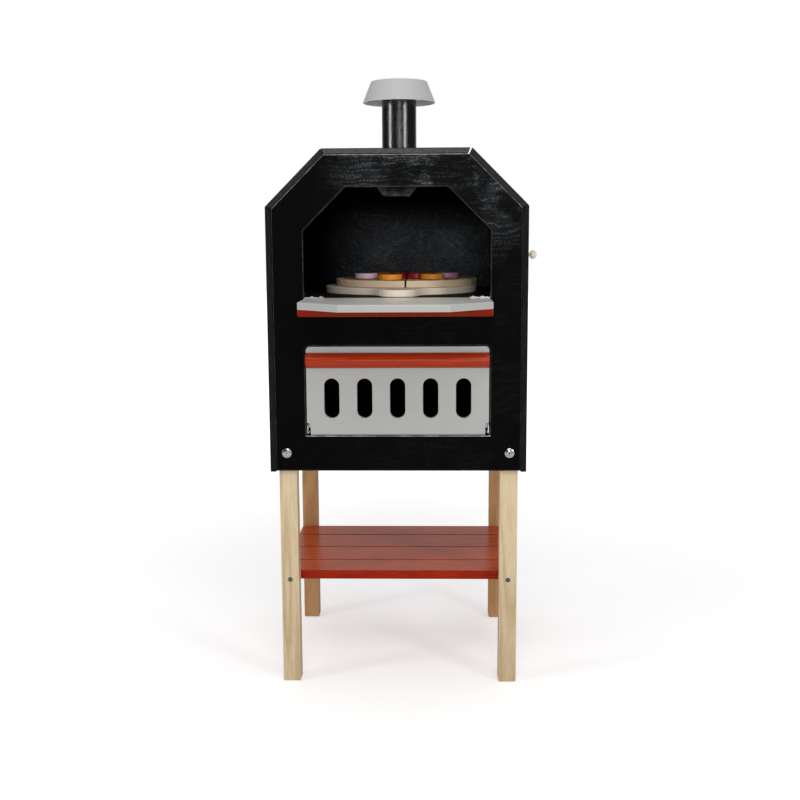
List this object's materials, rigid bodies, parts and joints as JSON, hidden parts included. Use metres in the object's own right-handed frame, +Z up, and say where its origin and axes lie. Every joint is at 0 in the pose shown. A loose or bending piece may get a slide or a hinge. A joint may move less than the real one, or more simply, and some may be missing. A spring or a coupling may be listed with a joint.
{
  "type": "toy oven",
  "caption": "Free-standing play oven on legs with two drop-down doors, a capped chimney, a lower shelf and a sliced play pizza on a paddle",
  "frame": {"origin": "on the floor, at the middle of the whole object's outline seen from above", "axes": "+X to the viewer's right when facing the doors, +Y from the front to the back, +Z up"},
  "size_m": [0.415, 0.5184, 0.9624],
  "materials": {
    "stained_ply": "birch plywood with a matt black stain that leaves the grain showing",
    "chimney_black": "turned wood tube in semi-gloss black paint",
    "door_grey": "plywood in satin light grey paint",
    "cap_grey": "turned wood in satin light grey paint",
    "red_gloss": "wood in glossy orange-red paint",
    "pine": "planed pine, clear matt lacquer",
    "beech": "turned beech, sanded",
    "play_ply": "birch plywood with bare layered edges",
    "hinge_steel": "folded steel strip, brushed",
    "zinc_steel": "bright zinc-plated steel",
    "topping_orange": "painted wooden disc",
    "topping_mauve": "painted wooden disc",
    "topping_brown": "painted wooden disc",
    "topping_rust": "painted wooden disc",
    "topping_pink": "painted wooden disc"
  },
  "bodies": {
    "casing": {"front_panel": "stained_ply", "back_panel": "stained_ply", "left_side_panel": "stained_ply", "right_side_panel": "stained_ply", "left_slope_panel": "stained_ply", "right_slope_panel": "stained_ply", "roof_panel": "stained_ply", "base_panel": "stained_ply", "oven_floor": "stained_ply", "floor_cleats": "pine", "oven_door_stop": "stained_ply", "store_door_stop": "stained_ply", "oven_hinge_plates": "hinge_steel", "oven_hinge_pins": "zinc_steel", "oven_plate_screws": "zinc_steel", "store_hinge_plates": "hinge_steel", "store_hinge_pins": "zinc_steel", "store_plate_screws": "zinc_steel", "chimney_pipe": "chimney_black", "chimney_flange": "chimney_black", "chimney_cap": "cap_grey", "side_peg": "beech", "leg_front_left": "pine", "leg_front_right": "pine", "leg_rear_left": "pine", "leg_rear_right": "pine", "front_leg_bolts": "zinc_steel", "rear_leg_bolts": "zinc_steel", "leg_barrel_nuts": "zinc_steel", "shelf": "red_gloss", "shelf_screws": "zinc_steel"},
    "oven_door": {"oven_door": "door_grey", "oven_door_handle": "red_gloss", "oven_handle_dowels": "beech", "oven_hinge_brackets": "hinge_steel", "oven_bracket_screws": "zinc_steel"},
    "store_door": {"store_door": "door_grey", "store_door_handle": "red_gloss", "store_handle_dowels": "beech", "store_hinge_brackets": "hinge_steel", "store_bracket_screws": "zinc_steel"},
    "paddle": {"pizza_paddle": "play_ply"},
    "slice_1": {"pizza_slice_1": "play_ply", "topping_1": "topping_orange"},
    "slice_2": {"pizza_slice_2": "play_ply", "topping_2": "topping_mauve"},
    "slice_3": {"pizza_slice_3": "play_ply", "topping_3": "topping_brown"},
    "slice_4": {"pizza_slice_4": "play_ply", "topping_4": "topping_rust"},
    "slice_5": {"pizza_slice_5": "play_ply", "topping_5": "topping_pink"},
    "slice_6": {"pizza_slice_6": "play_ply", "topping_6": "topping_orange"}
  },
  "joints": [
    {"name": "oven_door_hinge", "type": "hinge", "parent": "casing", "child": "oven_door", "pos_m": [-0.0075, -0.0885, 0.61475], "axis": [-1, 0, 0], "range_deg": [0, 90]},
    {"name": "store_door_hinge", "type": "hinge", "parent": "casing", "child": "store_door", "pos_m": [-0.0075, -0.0885, 0.41125], "axis": [1, 0, 0], "range_deg": [0, 90]},
    {"name": "paddle_lift", "type": "slide", "parent": "casing", "child": "paddle", "axis": [0, 0, 1], "range_m": [0, 0.04]},
    {"name": "slice_1_lift", "type": "slide", "parent": "paddle", "child": "slice_1", "axis": [0, 0, 1], "range_m": [0, 0.04]},
    {"name": "slice_2_lift", "type": "slide", "parent": "paddle", "child": "slice_2", "axis": [0, 0, 1], "range_m": [0, 0.04]},
    {"name": "slice_3_lift", "type": "slide", "parent": "paddle", "child": "slice_3", "axis": [0, 0, 1], "range_m": [0, 0.04]},
    {"name": "slice_4_lift", "type": "slide", "parent": "paddle", "child": "slice_4", "axis": [0, 0, 1], "range_m": [0, 0.04]},
    {"name": "slice_5_lift", "type": "slide", "parent": "paddle", "child": "slice_5", "axis": [0, 0, 1], "range_m": [0, 0.04]},
    {"name": "slice_6_lift", "type": "slide", "parent": "paddle", "child": "slice_6", "axis": [0, 0, 1], "range_m": [0, 0.04]}
  ]
}
